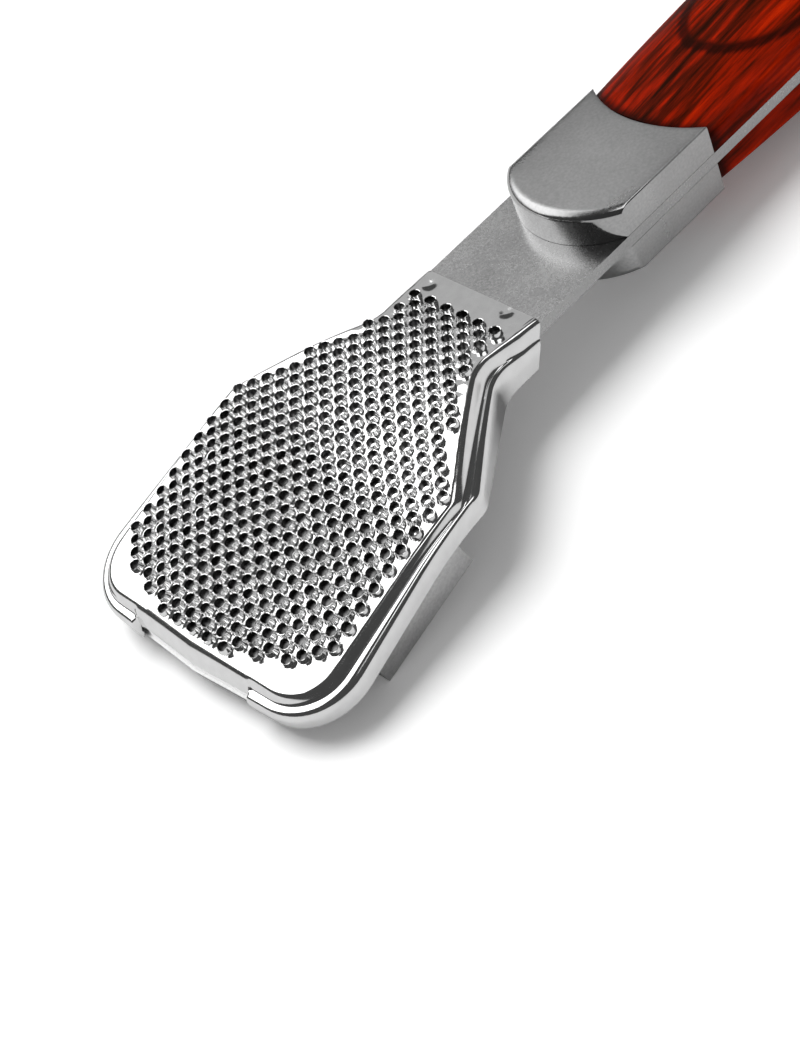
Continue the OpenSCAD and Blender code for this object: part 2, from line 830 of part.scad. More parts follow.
module blade() {
    t = blade_t / 2;
    color("lightsteelblue")
        on_head()
            difference() {
                translate([0, blade_l / 2, blade_low + t])
                    rotate([90, 0, 0])
                        linear_extrude(blade_l)
                            polygon([
                                [blade_back, 0], [blade_back + bevel_w, t], [blade_front - bevel_w, t],
                                [blade_front, 0], [blade_front - bevel_w, -t], [blade_back + bevel_w, -t]
                            ]);
                at_studs() rod(stud_d + 4 * seat, blade_low - 1, blade_low + 1);
            }
}
module clamp_plate() {
    color("slategray")
        on_head()
            difference() {
                translate([0, 0, clamp_low])
                    linear_extrude(clamp_t)
                        round_plan(clamp_mid - clamp_w / 2, clamp_mid + clamp_w / 2, clamp_l, window_r);
                at_studs() rod(stud_d + 4 * seat, clamp_low - 1, clamp_low + clamp_t + 1);
            }
}
module clamp_studs() {
    color("darkgray") on_head() at_studs() rod(stud_d, web_low, stud_top);
}
knurls = 24;
knurl_h = 0.25;
module clamp_nuts() {
    color("tan")
        on_head()
            at_studs()
                translate([0, 0, nut_low])
                    linear_extrude(nut_h)
                        difference() {
                            polygon([
                                for (i = [0:2 * knurls - 1])
                                    let(a = i * 180 / knurls, r = nut_d / 2 - (i % 2) * knurl_h)
                                    r * [cos(a), sin(a)]
                            ]);
                            circle(d = stud_d + 2 * seat);
                        }
}

at_rest() tang_plate();
at_rest() rasp_shell();
at_rest() upper_bolster();
at_rest() lower_bolster();
at_rest() bolster_pins();
at_rest() upper_scale();
at_rest() lower_scale();
at_rest() rivet_posts();
at_rest() rivet_caps();
at_rest() blade_carrier();
at_rest() carrier_rivets();
at_rest() blade();
at_rest() clamp_plate();
at_rest() clamp_studs();
at_rest() clamp_nuts();
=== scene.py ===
"""Looks of the callus shaver: its finer pieces, finishes, table and light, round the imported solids."""

import math
import random

import bpy
from mathutils import Matrix, Vector


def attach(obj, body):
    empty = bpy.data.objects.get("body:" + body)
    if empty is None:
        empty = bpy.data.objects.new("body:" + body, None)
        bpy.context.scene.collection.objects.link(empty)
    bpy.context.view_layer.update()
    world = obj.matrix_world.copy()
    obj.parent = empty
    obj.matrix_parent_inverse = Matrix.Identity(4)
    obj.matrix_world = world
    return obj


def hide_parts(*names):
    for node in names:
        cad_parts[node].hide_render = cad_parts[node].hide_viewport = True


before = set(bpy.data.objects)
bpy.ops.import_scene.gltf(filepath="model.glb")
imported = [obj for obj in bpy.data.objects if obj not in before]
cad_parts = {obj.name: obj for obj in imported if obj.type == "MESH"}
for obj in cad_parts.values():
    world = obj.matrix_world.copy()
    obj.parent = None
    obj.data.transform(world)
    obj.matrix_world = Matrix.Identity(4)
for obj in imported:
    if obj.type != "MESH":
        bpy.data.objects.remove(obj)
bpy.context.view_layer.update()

bl_info = {
    "name": "Callus Shaver",
    "version": (1, 0, 0),
    "blender": (4, 5, 0),
    "location": "View3D > Sidebar > Shaver",
    "description": "Builds the looks of a callus shaver round its solids",
    "category": "Object",
}

MM = 0.001


def length(name, description, default):
    """A length property whose default is given in millimetres."""
    return bpy.props.FloatProperty(
        name=name,
        description=description,
        default=default * MM,
        precision=5,
        unit="LENGTH",
        subtype="DISTANCE",
    )


def angle(name, description, default):
    """An angle property whose default is given in degrees."""
    return bpy.props.FloatProperty(
        name=name,
        description=description,
        default=math.radians(default),
        unit="ROTATION",
        subtype="ANGLE",
    )


def tone(name, description, default):
    """A plain strength of light, which is never negative."""
    return bpy.props.FloatProperty(name=name, description=description, default=default, min=0)


def power(name, description, default):
    """The power of a lamp in watts."""
    return bpy.props.FloatProperty(
        name=name, description=description, default=default, min=0, unit="POWER"
    )


class ShaverRest(bpy.types.PropertyGroup):
    """How the tool rests on the table"""

    tilt: angle("Tilt", "Turn of the tool about the Y axis", -2.58436)
    middle: length("Middle", "Place of the middle of the tool along its length", -19.3237)
    height: length("Height", "Height of the top of the neck over the table", 12.5867)


class ShaverHead(bpy.types.PropertyGroup):
    """Sizes of the bent head and of its cover"""

    neck_l: length("Neck length", "Bare neck between the bolsters and the cover", 11.5)
    step_h: length("Step", "Height by which the blank steps down under the cover", 4)
    bend_start: length("Bend start", "From the rear edge of the cover to the bend", 24.2)
    bend_r: length("Bend radius", "Radius of the bend of the blank", 40)
    drop: angle("Drop", "Angle by which the head drops", 15.75)
    head_l: length("Head length", "From the rear edge of the cover to the front edge", 58.8)
    head_w: length("Head width", "Width of the blank at its front corners", 46.2)
    hip_w: length("Hip width", "Width of the blank where the flare ends", 41)
    hip_at: length("Hips", "From the rear edge of the cover to the hips", 23.6)
    waist_at: length("Waist", "From the rear edge of the cover to the flare", 8.9)
    neck_w: length("Neck width", "Width of the neck", 20)
    sheet_t: length("Sheet", "Thickness of the stamped sheet", 0.5)
    crest_h: length("Crest height", "Height of the cover over the blank at its crest", 5.85)
    cover_h: length("Cover height", "Height of the front part of the cover", 4.25)
    crest_at: length("Crest", "From the rear edge of the cover to its crest", 14)
    crest_to: length("Crest end", "From the rear edge to the end of the crest", 33)
    crown: length("Crown", "Drop of the top from its middle to its sides", 1.45)
    border_w: length("Border", "Width of the border at the front corners", 3.1)
    rim_gap: length("Rim gap", "Half of the gap in the rim at the front edge", 11)
    skirt: length("Skirt", "Reach of the rim over the edge of the blank", 1.25)
    tooth_pitch: length("Tooth pitch", "Distance between two teeth of a row", 2.89)
    row_pitch: length("Row pitch", "Distance between two rows", 1.38)
    first_row: length("First row", "From the rear edge of the cover to the first row", 4.8)
    quilt: length("Quilt", "Depth of the hollows between the teeth", 0.15)


class ShaverHandle(bpy.types.PropertyGroup):
    """Sizes of the bolsters and of the wooden scales"""

    blank_t: length("Blank", "Thickness of the tang", 1.7)
    width: length("Width", "Width of the handle", 20)
    bolster_l: length("Bolster length", "Length of a bolster along its middle", 18.7)
    bolster_h: length("Bolster height", "Height of a bolster over the tang", 5.1)
    bolster_crown: length("Bolster crown", "Height of the crown of a bolster", 0.6)
    nose_r: length("Nose radius", "Radius of the round nose", 12)
    hollow_r: length("Hollow radius", "Radius of the hollow that the wood fills", 16)
    handle_l: length("Handle length", "From the nose of the bolsters to the butt", 108.5)
    scale_h: length("Scale height", "Height of a scale at its thickest place", 7.59)
    swell: length("Swell", "Rise of a scale from the bolster to its thickest place", 2.4)
    scale_crown: length("Scale crown", "Height of the crown across a scale", 2.8)
    butt_r: length("Butt radius", "Radius of the corners of the butt", 8)
    seat: length("Seat", "Clearance between seated pieces", 0.05)
    shoulder: length("Shoulder", "Radius of the rounded far shoulder of a bolster", 1.3)
    nose_edge: length("Nose edge", "Radius of the rounded nose edge of a bolster", 1.1)
    near_edge: length("Near edge", "Radius of the sharper near edges", 0.3)
    wood_edge: length("Wood edge", "Radius of the rounded edges of the wood", 0.6)
    rivet_at: length("Rear rivet", "From the butt to the rear rivet", 18)
    rivet_gap: length("Rivet gap", "Distance between the rivets", 34)
    rivet_d: length("Rivet hole", "Diameter of the holes for the rivet heads", 6.6)


class ShaverLight(bpy.types.PropertyGroup):
    """Strength of the light"""

    room: tone("Room", "Light of the white room on matt surfaces", 0.32)
    mirrored: tone("Mirrored room", "Tone of the room in the steel", 0.06)
    key: power("Key light", "Power of the softbox that throws the shadow", 5.2)
    front: power("Front board", "Power of the board mirrored by the front of the cover", 3.6)
    rear: power("Rear board", "Power of the dim board mirrored by the neck", 0.2)
    over: power("Overhead board", "Power of the board mirrored by the crease of the rim", 0.7)


GROUPS = {
    "shaver_rest": ShaverRest,
    "shaver_head": ShaverHead,
    "shaver_handle": ShaverHandle,
    "shaver_light": ShaverLight,
}


def rest_matrix():
    """Turns the tool's own frame into its place on the table."""
    rest = bpy.context.scene.shaver_rest
    turn = Matrix.Rotation(rest.tilt, 4, "Y")
    return Matrix.Translation((-rest.middle, 0, rest.height)) @ turn


# Shader maths as expressions
class Value:
    """One output of a node, which takes part in sums and products."""

    def __init__(self, paint, link):
        self.paint = paint
        self.link = link

    def _math(self, operation, a, b=0.0):
        return self.paint.node("ShaderNodeMath", {"operation": operation}, {0: a, 1: b})

    def __add__(self, other):
        return self._math("ADD", self, other)

    def __radd__(self, other):
        return self._math("ADD", other, self)

    def __sub__(self, other):
        return self._math("SUBTRACT", self, other)

    def __rsub__(self, other):
        return self._math("SUBTRACT", other, self)

    def __mul__(self, other):
        return self._math("MULTIPLY", self, other)

    def __rmul__(self, other):
        return self._math("MULTIPLY", other, self)

    def __truediv__(self, other):
        return self._math("DIVIDE", self, other)

    def __abs__(self):
        return self._math("ABSOLUTE", self)

    def sqrt(self):
        return self._math("SQRT", self)

    def step(self, low, high):
        """Runs smoothly from 0 at low to 1 at high."""
        return self.paint.node(
            "ShaderNodeMapRange",
            {"interpolation_type": "SMOOTHSTEP"},
            {"Value": self, "From Min": low, "From Max": high},
        )


class Paint:
    """A material with one Principled shader, built node by node."""

    def __init__(self, name, **fixed):
        self.material = bpy.data.materials.new(name)
        self.material.use_nodes = True
        self.tree = self.material.node_tree
        self.shader = self.tree.nodes["Principled BSDF"]
        for socket, value in fixed.items():
            self.shader.inputs[socket.replace("_", " ")].default_value = value
        self.place = self.node("ShaderNodeTexCoord", out="Object")

    def node(self, kind, settings=None, sockets=None, out=0):
        """Adds a node: its settings first, then the values or links of its sockets."""
        made = self.tree.nodes.new(kind)
        for key, value in (settings or {}).items():
            if key == "stops":
                self.stops(made.color_ramp, value)
            else:
                setattr(made, key, value)
        for key, value in (sockets or {}).items():
            self.feed(made.inputs[key], value)
        return Value(self, made.outputs[out])

    @staticmethod
    def stops(ramp, stops):
        while len(ramp.elements) > 1:
            ramp.elements.remove(ramp.elements[-1])
        ramp.elements[0].position = stops[0][0]
        ramp.elements[0].color = stops[0][1]
        for position, color in stops[1:]:
            ramp.elements.new(position).color = color

    def feed(self, socket, value):
        """Links a value to a socket, or sets the socket to a number or a colour."""
        if isinstance(value, Value):
            self.tree.links.new(value.link, socket)
        else:
            socket.default_value = value

    def to(self, **sockets):
        """Feeds the shader and gives back the finished material."""
        for socket, value in sockets.items():
            self.feed(self.shader.inputs[socket.replace("_", " ")], value)
        return self.material

    def tool_place(self):
        """Coordinates along the tool, as if it wasn't tilted."""
        rest = bpy.context.scene.shaver_rest
        return self.node(
            "ShaderNodeMapping",
            {"vector_type": "TEXTURE"},
            {
                "Vector": self.place,
                "Location": (-rest.middle, 0, rest.height),
                "Rotation": (0, rest.tilt, 0),
            },
        )

    def stretched(self, vector, scale, move=(0, 0, 0)):
        return self.node(
            "ShaderNodeMapping", None, {"Vector": vector, "Location": move, "Scale": scale}
        )

    def axis(self, vector, out):
        return self.node("ShaderNodeSeparateXYZ", None, {"Vector": vector}, out)

    def noise(self, vector, scale, detail=3.0, rough=0.5):
        return self.node(
            "ShaderNodeTexNoise",
            None,
            {"Vector": vector, "Scale": scale, "Detail": detail, "Roughness": rough},
        )

    def ramp(self, value, stops):
        return self.node("ShaderNodeValToRGB", {"stops": stops}, {"Fac": value})

    def mix(self, factor, a, b):
        made = self.tree.nodes.new("ShaderNodeMix")
        made.data_type = "RGBA"
        for index, value in ((0, factor), (6, a), (7, b)):
            self.feed(made.inputs[index], value)
        return Value(self, made.outputs[2])

    def bump(self, height, depth, strength=1.0):
        return self.node(
            "ShaderNodeBump", None, {"Height": height, "Distance": depth, "Strength": strength}
        )


def grey(value):
    return (value, value, value, 1)


# Materials
# Wall of the bolster nose that is polished: where it starts along the tool, and its upper end
POLISH_FROM = (-13 * MM, -8 * MM)
POLISH_TO = (4.2 * MM, 4.9 * MM)


def satin_steel(name, tone, roughness=0.34, grained=0.4, nose_polish=0.0):
    """Tumbled stainless steel: fine grain, clouds, hairline scratches and a polished nose wall."""
    paint = Paint(name, Metallic=1.0)
    grain = paint.noise(paint.place, 2600, 2)
    cloud = paint.noise(paint.place, 90, 4)
    hair = paint.noise(paint.stretched(paint.place, (120, 2600, 1500)), 1, 2)
    color = paint.ramp(
        cloud * 0.5 + grain * 0.5, [(0.3, grey(tone * 0.8)), (0.7, grey(tone * 1.12))]
    )
    rough = roughness + (cloud - 0.5) * 0.14 + (grain - 0.5) * 0.12
    if nose_polish:
        tool = paint.tool_place()
        front = paint.axis(tool, "X").step(*POLISH_FROM)
        low = 1 - paint.axis(tool, "Z").step(*POLISH_TO)
        rough = rough - front * low * nose_polish
    relief = paint.bump(grain * 0.7 + hair * 0.3, 0.00002, grained)
    return paint.to(Base_Color=color, Roughness=rough, Normal=relief)


def polished_steel(name, tone, roughness):
    """Bright pressed sheet: mirror-like, with the slight waves of a pressing."""
    paint = Paint(name, Metallic=1.0)
    wave = paint.noise(paint.place, 160, 2)
    haze = paint.noise(paint.place, 700, 3)
    color = paint.ramp(haze, [(0.3, grey(tone * 0.93)), (0.7, grey(tone))])
    relief = paint.bump(wave * 0.8 + haze * 0.2, 0.00005, 0.3)
    return paint.to(Base_Color=color, Roughness=roughness + haze * 0.05, Normal=relief)


def tooth_pit(name):
    """Painted shade inside a punched tooth: dark steel with specks."""
    paint = Paint(name, Metallic=1.0)
    speck = paint.noise(paint.place, 900, 3)
    color = paint.ramp(speck, [(0.35, grey(0.05)), (0.65, grey(0.24))])
    return paint.to(Base_Color=color, Roughness=0.2 + speck * 0.25)


# Dark and bright tones along the grain of the dyed wood
WOOD_TONES = (
    (0.33, (0.018, 0.003, 0.0005, 1)),
    (0.45, (0.10, 0.006, 0.0005, 1)),
    (0.57, (0.34, 0.011, 0.0, 1)),
    (0.70, (0.60, 0.024, 0.0, 1)),
)
PORE_TONE = (0.03, 0.004, 0.001, 1)
GROWTH_TONE = (0.014, 0.0025, 0.001, 1)
# Painted shade in the joint of the wood with the bolster
JOINT_SHADE_TONE = (0.012, 0.002, 0.001, 1)
# Growth ring on the scales: its middle along and across the tool, and its half axes
RING_MIDDLE = (-46 * MM, 0.3 * MM)
RING_HALF = (13.6 * MM, 8.4 * MM)
# Painted shade along the joint with the hollow of the bolster: from and to, inside the radius of the
# hollow
JOINT_SHADE_FROM = 2.0 * MM
JOINT_SHADE_TO = 0.3 * MM


def dyed_wood(name):
    """Red dyed laminated wood under satin lacquer, with painted shade where it meets the bolster."""
    handle = bpy.context.scene.shaver_handle
    paint = Paint(name, Coat_Roughness=0.2, Specular_IOR_Level=0.02)
    tool = paint.tool_place()
    x, y = paint.axis(tool, "X"), paint.axis(tool, "Y")
    streak = paint.noise(paint.stretched(tool, (60, 1100, 700)), 1, 5, 0.6)
    pores = paint.noise(paint.stretched(tool, (110, 3200, 1800)), 1, 2)
    drift = paint.noise(paint.stretched(tool, (22, 60, 60)), 1, 2)
    base = paint.ramp(streak * 0.7 + drift * 0.4 - 0.05, WOOD_TONES)
    base = paint.mix(pores.step(0.60, 0.72) * 0.6, base, PORE_TONE)
    ring_x = (x - RING_MIDDLE[0]) / RING_HALF[0]
    ring_y = (y - RING_MIDDLE[1]) / RING_HALF[1]
    ring = (ring_x * ring_x + ring_y * ring_y).sqrt() + (streak - 0.5) * 0.16
    growth = 1 - abs(ring - 1).step(0.03, 0.11)
    base = paint.mix(growth * 0.85, base, GROWTH_TONE)
    # Painted shade darkens the wood in a band along the hollow of the bolster
    forward = x + (handle.bolster_l + handle.hollow_r)
    away = (forward * forward + y * y).sqrt() + (drift - 0.5) * 0.003
    joint_shade = away.step(handle.hollow_r - JOINT_SHADE_FROM, handle.hollow_r - JOINT_SHADE_TO)
    joint_shade = joint_shade * forward.step(0.0, 2 * MM)
    base = paint.mix(joint_shade * 0.9, base, JOINT_SHADE_TONE)
    relief = paint.bump(pores, 0.00003, 0.3)
    return paint.to(
        Base_Color=base, Roughness=0.38 + streak * 0.1, Coat_Weight=drift * 0.02, Normal=relief
    )


def turned_brass(name):
    """Turned brass with a faint grain."""
    paint = Paint(name, Metallic=1.0)
    fine = paint.noise(paint.place, 1500, 3)
    color = paint.ramp(fine, [(0.3, (0.60, 0.43, 0.17, 1)), (0.7, (0.76, 0.58, 0.27, 1))])
    relief = paint.bump(fine, 0.00002, 0.4)
    return paint.to(Base_Color=color, Roughness=0.22 + fine * 0.12, Normal=relief)


# Form of the head
class HeadForm:
    """The bent line of the head and the outline of its cover, in the tool's own frame."""

    # Corners of the blank, and by how much the toothed top stays inside or ahead of them
    WAIST_R = 7 * MM
    HIP_R = 3 * MM
    CORNER_R = 8.5 * MM
    SIDE_FROM = 2.9 * MM
    BOW = 1.3 * MM
    REAR_IN = 0.6 * MM
    WAIST_IN = 1.1 * MM
    HIP_IN = 0.35 * MM
    FRONT_IN = 3.2 * MM
    WAIST_LEAD = 1.7 * MM
    HIP_LEAD = 3.5 * MM
    SEAT = 0.05 * MM
    # The teeth end at the front on an arc, and keep clear of the sides
    TEETH_IN = 2.8 * MM
    TEETH_END_R = 27 * MM
    TOOTH_ROOM = 0.95 * MM
    # Spot dents in the rear flange: place along and across, radius and depth
    DENTS = ((2.1 * MM, -7.7 * MM), (1.0 * MM, 5.3 * MM))
    DENT_R = 0.9 * MM
    DENT_DEPTH = 0.22 * MM
    # Points on the straight stretches and on the round corners of an outline
    STRAIGHT_STEPS = (24, 38, 60)
    ARC_STEPS = (10, 4, 16)

    def __init__(self, sizes):
        self.s = s = sizes
        self.bend_l = s.bend_r * s.drop
        self.teeth_end = s.head_l - self.TEETH_IN
        edge = [
            (self.SIDE_FROM, s.neck_w / 2, 0),
            (s.waist_at, s.neck_w / 2, self.WAIST_R),
            (s.hip_at, s.hip_w / 2, self.HIP_R),
            (s.head_l - self.BOW, s.head_w / 2, self.CORNER_R),
            (s.head_l, 0, 0),
        ]
        waist_in, hip_in = self.WAIST_IN, self.HIP_IN
        top = [
            (0, s.neck_w / 2 - self.REAR_IN, 0),
            (s.waist_at + self.WAIST_LEAD, s.neck_w / 2 - waist_in, self.WAIST_R - waist_in),
            (s.hip_at + self.HIP_LEAD, s.hip_w / 2 - hip_in, self.HIP_R / 2),
            (s.head_l - self.FRONT_IN, s.head_w / 2 - s.border_w, self.CORNER_R - s.border_w),
            (s.head_l - self.FRONT_IN, 0, 0),
        ]
        rim = self.outward(edge, s.sheet_t)
        self.rim_line = self.stations(rim)
        self.top_line = self.stations(top)
        self.front = (Vector(rim[4][:2]), Vector(top[4][:2]))
        self.rows = self.tooth_rows()

    @staticmethod
    def outward(path, d):
        """The path moved outwards by d, with its corner radii."""
        flat = [Vector(p[:2]) for p in path]
        sides = []
        for a, b in zip(flat, flat[1:]):
            way = (b - a).normalized()
            sides.append(Vector((-way.y, way.x)))
        moved = []
        for i, p in enumerate(path):
            before, after = sides[max(0, i - 1)], sides[min(i, len(sides) - 1)]
            to = flat[i] + (before + after) * d / (1 + before.dot(after))
            turn = before.x * after.y - before.y * after.x
            side = 0 if abs(turn) < 1e-9 else math.copysign(1, turn)
            moved.append((to.x, 0 if i == len(path) - 1 else to.y, p[2] - side * d))
        return moved

    @staticmethod
    def arc(a, b, c, steps):
        """Points on the round corner at b."""
        r = b[2]
        a, b, c = Vector(a[:2]), Vector(b[:2]), Vector(c[:2])
        u, w = (b - a).normalized(), (c - b).normalized()
        whole = math.acos(max(-1, min(1, u.dot(w))))
        side = math.copysign(1, u.x * w.y - u.y * w.x)
        centre = b + (w - u).normalized() * r / math.cos(whole / 2)
        start = b - u * r * math.tan(whole / 2) - centre
        return [
            centre + Matrix.Rotation(side * whole * i / steps, 2) @ start
            for i in range(steps + 1)
        ]

    def stations(self, path):
        """Points along a path from the rear to the end of its front corner."""
        points = [Vector(path[0][:2])]
        for i, steps in enumerate(self.STRAIGHT_STEPS):
            bend = self.arc(*path[i : i + 3], self.ARC_STEPS[i])
            start = points[-1]
            points.extend(start.lerp(bend[0], n / steps) for n in range(1, steps))
            points.extend(bend)
        return points

    def on_blank(self, u, y, n):
        """Place at length u from the rear edge of the cover, y across and n over the blank."""
        s = self.s
        a = max(0.0, min(s.drop, (u - s.bend_start) / s.bend_r))
        past = u - s.bend_start
        flat = past if past < 0 else max(0.0, past - self.bend_l)
        x = s.neck_l + s.bend_start + (s.bend_r + n) * math.sin(a) + flat * math.cos(a)
        z = (s.bend_r + n) * math.cos(a) - s.bend_r - flat * math.sin(a) - s.step_h
        return Vector((x, y, z))

    def middle_h(self, u):
        """Height of the cover over the blank along its middle."""
        s = self.s
        rear = s.step_h + self.SEAT + s.sheet_t
        if u < s.crest_at:
            return rear + (s.crest_h - rear) * math.sin(math.pi / 2 * max(0, u) / s.crest_at)
        part = min(1, (u - s.crest_at) / (s.crest_to - s.crest_at))
        return s.cover_h + (s.crest_h - s.cover_h) * (1 + math.cos(math.pi * part)) / 2

    def top_h(self, u, y):
        """Height of the cover over the blank, without its quilting."""
        s = self.s
        half = s.head_w / 2 - s.border_w
        dents = 0.0
        for at_u, at_y in self.DENTS:
            away = math.hypot(u - at_u, y - at_y) / self.DENT_R
            dents += self.DENT_DEPTH * math.exp(-(away**2))
        sides = s.crown * (y / half) ** 2 * min(1, max(0, u / s.waist_at))
        return self.middle_h(u) - sides - dents

    def tooth_rows(self):
        """Rows keep their distance on the formed sheet, which is longer than the blank at the bend."""
        s = self.s
        rows, u = [], s.first_row
        while u < self.teeth_end:
            rows.append(u)
            bent = s.bend_start < u < s.bend_start + self.bend_l
            u += s.row_pitch / (1 + self.middle_h(u) / s.bend_r if bent else 1)
        return rows

    def row_at(self, u):
        """Number of the row at u, with its fraction."""
        rows = self.rows
        for i, (a, b) in enumerate(zip(rows, rows[1:])):
            if a < u < b:
                return i + (u - a) / (b - a)
        if u <= rows[0]:
            return (u - rows[0]) / self.s.row_pitch
        return len(rows) - 1 + (u - rows[-1]) / self.s.row_pitch

    def half_width(self, u):
        """Half of the width of the toothed top at u."""
        for a, b in zip(self.top_line, self.top_line[1:]):
            if a.x <= u <= b.x and b.x > a.x:
                return a.y + (b.y - a.y) * (u - a.x) / (b.x - a.x)
        return 0.0

    def room(self, u, y):
        """Distance by which a tooth would clear the edges of the toothed field."""
        side = self.half_width(u) - self.TOOTH_ROOM - abs(y)
        return min(side, self.teeth_end - y * y / self.TEETH_END_R / 2 - u)

    def quilt(self, u, y):
        """The sheet is drawn up at each tooth and dips between them."""
        fade = min(1, self.room(u, y) / MM + 1, (u - self.s.first_row) / MM + 1.5)
        if fade <= 0:
            return 0.0
        across, row = y / self.s.tooth_pitch - 0.5, self.row_at(u) / 2
        ridges = math.cos(math.tau * (across + row)) - 1
        others = math.cos(math.tau * (across - row)) - 1
        return self.s.quilt * (0.65 * ridges + 0.35 * others) / 2 * fade

    def top_at(self, u, y):
        """Place on the quilted top of the cover."""
        return self.on_blank(u, y, self.top_h(u, y) + self.quilt(u, y))

    def teeth(self):
        """Places of the teeth: every second row is shifted by half a pitch."""
        pitch = self.s.tooth_pitch
        for i, u in enumerate(self.rows):
            shift = 0.5 if i % 2 == 0 else 0
            most = math.ceil(self.half_width(u) / pitch)
            for j in range(-most, most + 1):
                if self.room(u, (j + shift) * pitch) > 0:
                    yield u, (j + shift) * pitch

    def upright(self, u, y):
        """Frame on the cover top with its Z axis along the normal."""
        d = 0.4 * MM

        def smooth(u, y):
            return self.on_blank(u, y, self.top_h(u, y))

        along = (smooth(u + d, y) - smooth(u - d, y)).normalized()
        across = smooth(u, y + d) - smooth(u, y - d)
        up = along.cross(across).normalized()
        turn = Matrix((along, up.cross(along), up)).transposed().to_4x4()
        return Matrix.Translation(self.top_at(u, y)) @ turn


# Sections of the border of the cover: shares of its width and of its height
REAR_WALL = (
    (0, 0), (0, 0.1), (0, 0.24), (0.03, 0.36), (0.1, 0.43), (0.2, 0.47), (0.28, 0.5),
    (0.31, 0.56), (0.32, 0.66), (0.33, 0.78), (0.4, 0.89), (0.62, 0.97), (1, 1),
)
RIM_WALL = (
    (0, 0), (0, 0.12), (0.01, 0.26), (0.05, 0.4), (0.14, 0.51), (0.26, 0.575), (0.38, 0.59),
    (0.48, 0.585), (0.56, 0.62), (0.66, 0.74), (0.76, 0.88), (0.87, 0.965), (1, 1),
)
LIP_WALL = (
    (0, 0), (0.03, 0.11), (0.07, 0.22), (0.11, 0.33), (0.16, 0.43), (0.22, 0.53), (0.29, 0.62),
    (0.37, 0.7), (0.47, 0.78), (0.58, 0.85), (0.7, 0.91), (0.84, 0.965), (1, 1),
)
# Columns of the sheet between its borders
ACROSS = 84
# Length over which the rear section of the border passes into the front one
REAR_BLEND = 9 * MM
# Distance of the open lip from the edge of the rim
LIP_IN = 0.85 * MM


def border_points(form, e, t, side, lip):
    """Points of the border from the rim at e to the top at t, on one side."""
    s = form.s
    h = form.top_h(t.x, t.y)
    wide = (t - e).length
    mixed = min(1.0, t.x / REAR_BLEND)
    slant = max(0.0, 1 - t.x / form.SIDE_FROM)
    points = []
    for j, (share, high) in enumerate(LIP_WALL if lip else RIM_WALL):
        if lip:
            share = LIP_IN / wide + (1 - LIP_IN / wide) * share
            n = high * h if j else form.SEAT
        else:
            share += (REAR_WALL[j][0] - share) * (1 - mixed)
            high += (REAR_WALL[j][1] - high) * (1 - mixed)
            n = high * h if j else -s.skirt
        p = e.lerp(t, share)
        low = max(0.0, min(1.0, (n + s.skirt) / (s.step_h + s.skirt)))
        p.x += (form.SIDE_FROM * (1 - low) - p.x) * slant
        points.append(form.on_blank(p.x, side * p.y, n))
    return points


def top_row(form, t):
    """Points across the top, between its borders."""
    return [form.top_at(t.x, t.y * (2 * i / ACROSS - 1)) for i in range(1, ACROSS)]


def sheet_rows(form):
    """Rows of the cover from its rear edge to the end of its front corners."""
    for e, t in zip(form.rim_line, form.top_line):
        left = border_points(form, e, t, -1, False)
        right = border_points(form, e, t, 1, False)
        yield left + top_row(form, t) + right[::-1]


def front_rows(form):
    """Columns of the front border, from the left corner to the right one."""
    e0, t0 = form.rim_line[-1], form.top_line[-1]
    e1, t1 = form.front
    for i in range(ACROSS + 1):
        at = 2 * i / ACROSS - 1
        f = 1 - abs(at)
        e = e0.lerp(e1, f)
        lip = e.y < form.s.rim_gap
        yield border_points(form, e, t0.lerp(t1, f), math.copysign(1, at), lip)


def select_only(*items):
    """Selects the items alone; the first one is active."""
    bpy.ops.object.select_all(action="DESELECT")
    for item in items:
        item.select_set(True)
    bpy.context.view_layer.objects.active = items[0]


def laid_grid(name, rows):
    """A grid whose points are laid row by row."""
    bpy.ops.object.select_all(action="DESELECT")
    bpy.ops.mesh.primitive_grid_add(
        x_subdivisions=len(rows[0]) - 1, y_subdivisions=len(rows) - 1, size=1
    )
    item = bpy.context.object
    item.name = name
    places = [c for row in rows for p in row for c in p]
    if len(places) != 3 * len(item.data.vertices):
        raise RuntimeError("the grid of " + name + " doesn't match its rows")
    item.data.vertices.foreach_set("co", places)
    item.data.update()
    return item


def close_up(item):
    """Merges doubled points and turns the faces outwards."""
    select_only(item)
    bpy.ops.object.mode_set(mode="EDIT")
    bpy.ops.mesh.select_all(action="SELECT")
    bpy.ops.mesh.remove_doubles(threshold=0.000005)
    bpy.ops.mesh.normals_make_consistent(inside=False)
    bpy.ops.object.mode_set(mode="OBJECT")


def hand_over(item, node, smooth):
    """The finished piece takes the place of its solid."""
    item.data.transform(rest_matrix())
    select_only(item)
    bpy.ops.object.shade_smooth_by_angle(angle=math.radians(smooth))
    item.data.name = item.name
    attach(item, "root")
    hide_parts(node)


# Rings of a tooth after its foot: radius and height in millimetres
TOOTH_SIDES = 10
TOOTH_FOOT = (1.02, -0.14)
TOOTH_RINGS = ((0.9, 0.12), (0.83, 0.6), (0.79, 0.7), (0.7, 0.66), (0.6, 0.02))
# Faces within this radius and under this height take the dark pit material, painted shade inside the
# tooth
SHADED_PIT_R = 0.68 * MM
SHADED_PIT_H = 0.5 * MM
# Teeth lean by chance, and differ in size
TOOTH_LEAN = 0.06
TOOTH_GROWN = (0.95, 1.03)


